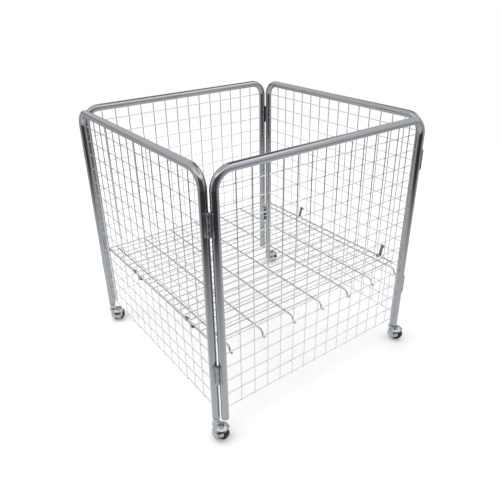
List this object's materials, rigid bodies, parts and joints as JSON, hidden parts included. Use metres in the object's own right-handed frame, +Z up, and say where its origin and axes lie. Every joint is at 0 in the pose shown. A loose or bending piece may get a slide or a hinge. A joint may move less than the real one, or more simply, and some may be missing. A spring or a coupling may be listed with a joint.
{
  "type": "retail dump bin",
  "caption": "Square chrome wire dump bin on ball castors: hinged tube-framed mesh panels around a wire base that hooks inside and swings up.",
  "frame": {"origin": "on the floor under the middle of the bin's overall box, castors included", "axes": "+Z up, -Y towards the front panel that carries the base's hooks, +X towards the right panel"},
  "size_m": [0.703, 0.6806, 0.6952],
  "materials": {
    "chrome_tube": "bright chrome plated steel tube",
    "chrome_wire": "chrome plated welded steel wire",
    "hinge_steel": "plated pressed steel",
    "clip_steel": "plated bent steel strip",
    "grey_plastic": "moulded insert",
    "castor_chrome": "pressed and plated castor shell",
    "tyre_rubber": "moulded tread"
  },
  "bodies": {
    "frame": {"front_tube": "chrome_tube", "front_mesh": "chrome_wire", "hinge_front_right_upper_outer_leaf": "hinge_steel", "hinge_front_right_upper_middle_leaf": "hinge_steel", "hinge_front_right_upper_pin": "hinge_steel", "hinge_front_right_lower_outer_leaf": "hinge_steel", "hinge_front_right_lower_middle_leaf": "hinge_steel", "hinge_front_right_lower_pin": "hinge_steel", "front_plug_left": "grey_plastic", "front_plug_right": "grey_plastic", "right_tube": "chrome_tube", "right_mesh": "chrome_wire", "hinge_back_right_upper_outer_leaf": "hinge_steel", "hinge_back_right_upper_middle_leaf": "hinge_steel", "hinge_back_right_upper_pin": "hinge_steel", "hinge_back_right_lower_outer_leaf": "hinge_steel", "hinge_back_right_lower_middle_leaf": "hinge_steel", "hinge_back_right_lower_pin": "hinge_steel", "back_tube": "chrome_tube", "back_mesh": "chrome_wire", "hinge_back_left_upper_outer_leaf": "hinge_steel", "hinge_back_left_upper_middle_leaf": "hinge_steel", "hinge_back_left_upper_pin": "hinge_steel", "hinge_back_left_lower_outer_leaf": "hinge_steel", "hinge_back_left_lower_middle_leaf": "hinge_steel", "hinge_back_left_lower_pin": "hinge_steel", "back_plug_left": "grey_plastic", "back_plug_right": "grey_plastic", "left_tube": "chrome_tube", "left_mesh": "chrome_wire", "hinge_front_left_upper_outer_leaf": "hinge_steel", "hinge_front_left_upper_middle_leaf": "hinge_steel", "hinge_front_left_upper_pin": "hinge_steel", "hinge_front_left_lower_outer_leaf": "hinge_steel", "hinge_front_left_lower_middle_leaf": "hinge_steel", "hinge_front_left_lower_pin": "hinge_steel", "clip_left_front": "clip_steel", "clip_left_rear": "clip_steel", "clip_right_front": "clip_steel", "clip_right_rear": "clip_steel", "castor_front_left_socket": "grey_plastic", "castor_back_left_socket": "grey_plastic", "castor_front_right_socket": "grey_plastic", "castor_back_right_socket": "grey_plastic"},
    "base": {"base_shelf": "chrome_wire"},
    "castor_front_left_fork": {"castor_front_left_hood": "castor_chrome"},
    "castor_front_left_roller": {"castor_front_left_wheel": "castor_chrome", "castor_front_left_tyre": "tyre_rubber"},
    "castor_back_left_fork": {"castor_back_left_hood": "castor_chrome"},
    "castor_back_left_roller": {"castor_back_left_wheel": "castor_chrome", "castor_back_left_tyre": "tyre_rubber"},
    "castor_front_right_fork": {"castor_front_right_hood": "castor_chrome"},
    "castor_front_right_roller": {"castor_front_right_wheel": "castor_chrome", "castor_front_right_tyre": "tyre_rubber"},
    "castor_back_right_fork": {"castor_back_right_hood": "castor_chrome"},
    "castor_back_right_roller": {"castor_back_right_wheel": "castor_chrome", "castor_back_right_tyre": "tyre_rubber"}
  },
  "joints": [
    {"name": "base_swing", "type": "hinge", "parent": "frame", "child": "base", "pos_m": [-0.00592, -0.31967, 0.25], "axis": [1, 0, 0], "range_deg": [0, 50]},
    {"name": "castor_front_left_swivel", "type": "hinge", "parent": "frame", "child": "castor_front_left_fork", "pos_m": [-0.33192, -0.30517, 0.06], "axis": [0, 0, 1], "continuous": true},
    {"name": "castor_front_left_roll", "type": "hinge", "parent": "castor_front_left_fork", "child": "castor_front_left_roller", "pos_m": [-0.32713, -0.31833, 0.0205], "axis": [0.9397, 0.342, 0], "continuous": true},
    {"name": "castor_back_left_swivel", "type": "hinge", "parent": "frame", "child": "castor_back_left_fork", "pos_m": [-0.33192, 0.31483, 0.06], "axis": [0, 0, 1], "continuous": true},
    {"name": "castor_back_left_roll", "type": "hinge", "parent": "castor_back_left_fork", "child": "castor_back_left_roller", "pos_m": [-0.31876, 0.31004, 0.0205], "axis": [0.342, 0.9397, 0], "continuous": true},
    {"name": "castor_front_right_swivel", "type": "hinge", "parent": "frame", "child": "castor_front_right_fork", "pos_m": [0.32009, -0.30517, 0.06], "axis": [0, 0, 1], "continuous": true},
    {"name": "castor_front_right_roll", "type": "hinge", "parent": "castor_front_right_fork", "child": "castor_front_right_roller", "pos_m": [0.32252, -0.31896, 0.0205], "axis": [0.9848, 0.1736, 0], "continuous": true},
    {"name": "castor_back_right_swivel", "type": "hinge", "parent": "frame", "child": "castor_back_right_fork", "pos_m": [0.32009, 0.31483, 0.06], "axis": [0, 0, 1], "continuous": true},
    {"name": "castor_back_right_roll", "type": "hinge", "parent": "castor_back_right_fork", "child": "castor_back_right_roller", "pos_m": [0.32908, 0.3041, 0.0205], "axis": [0.766, 0.6428, 0], "continuous": true}
  ]
}
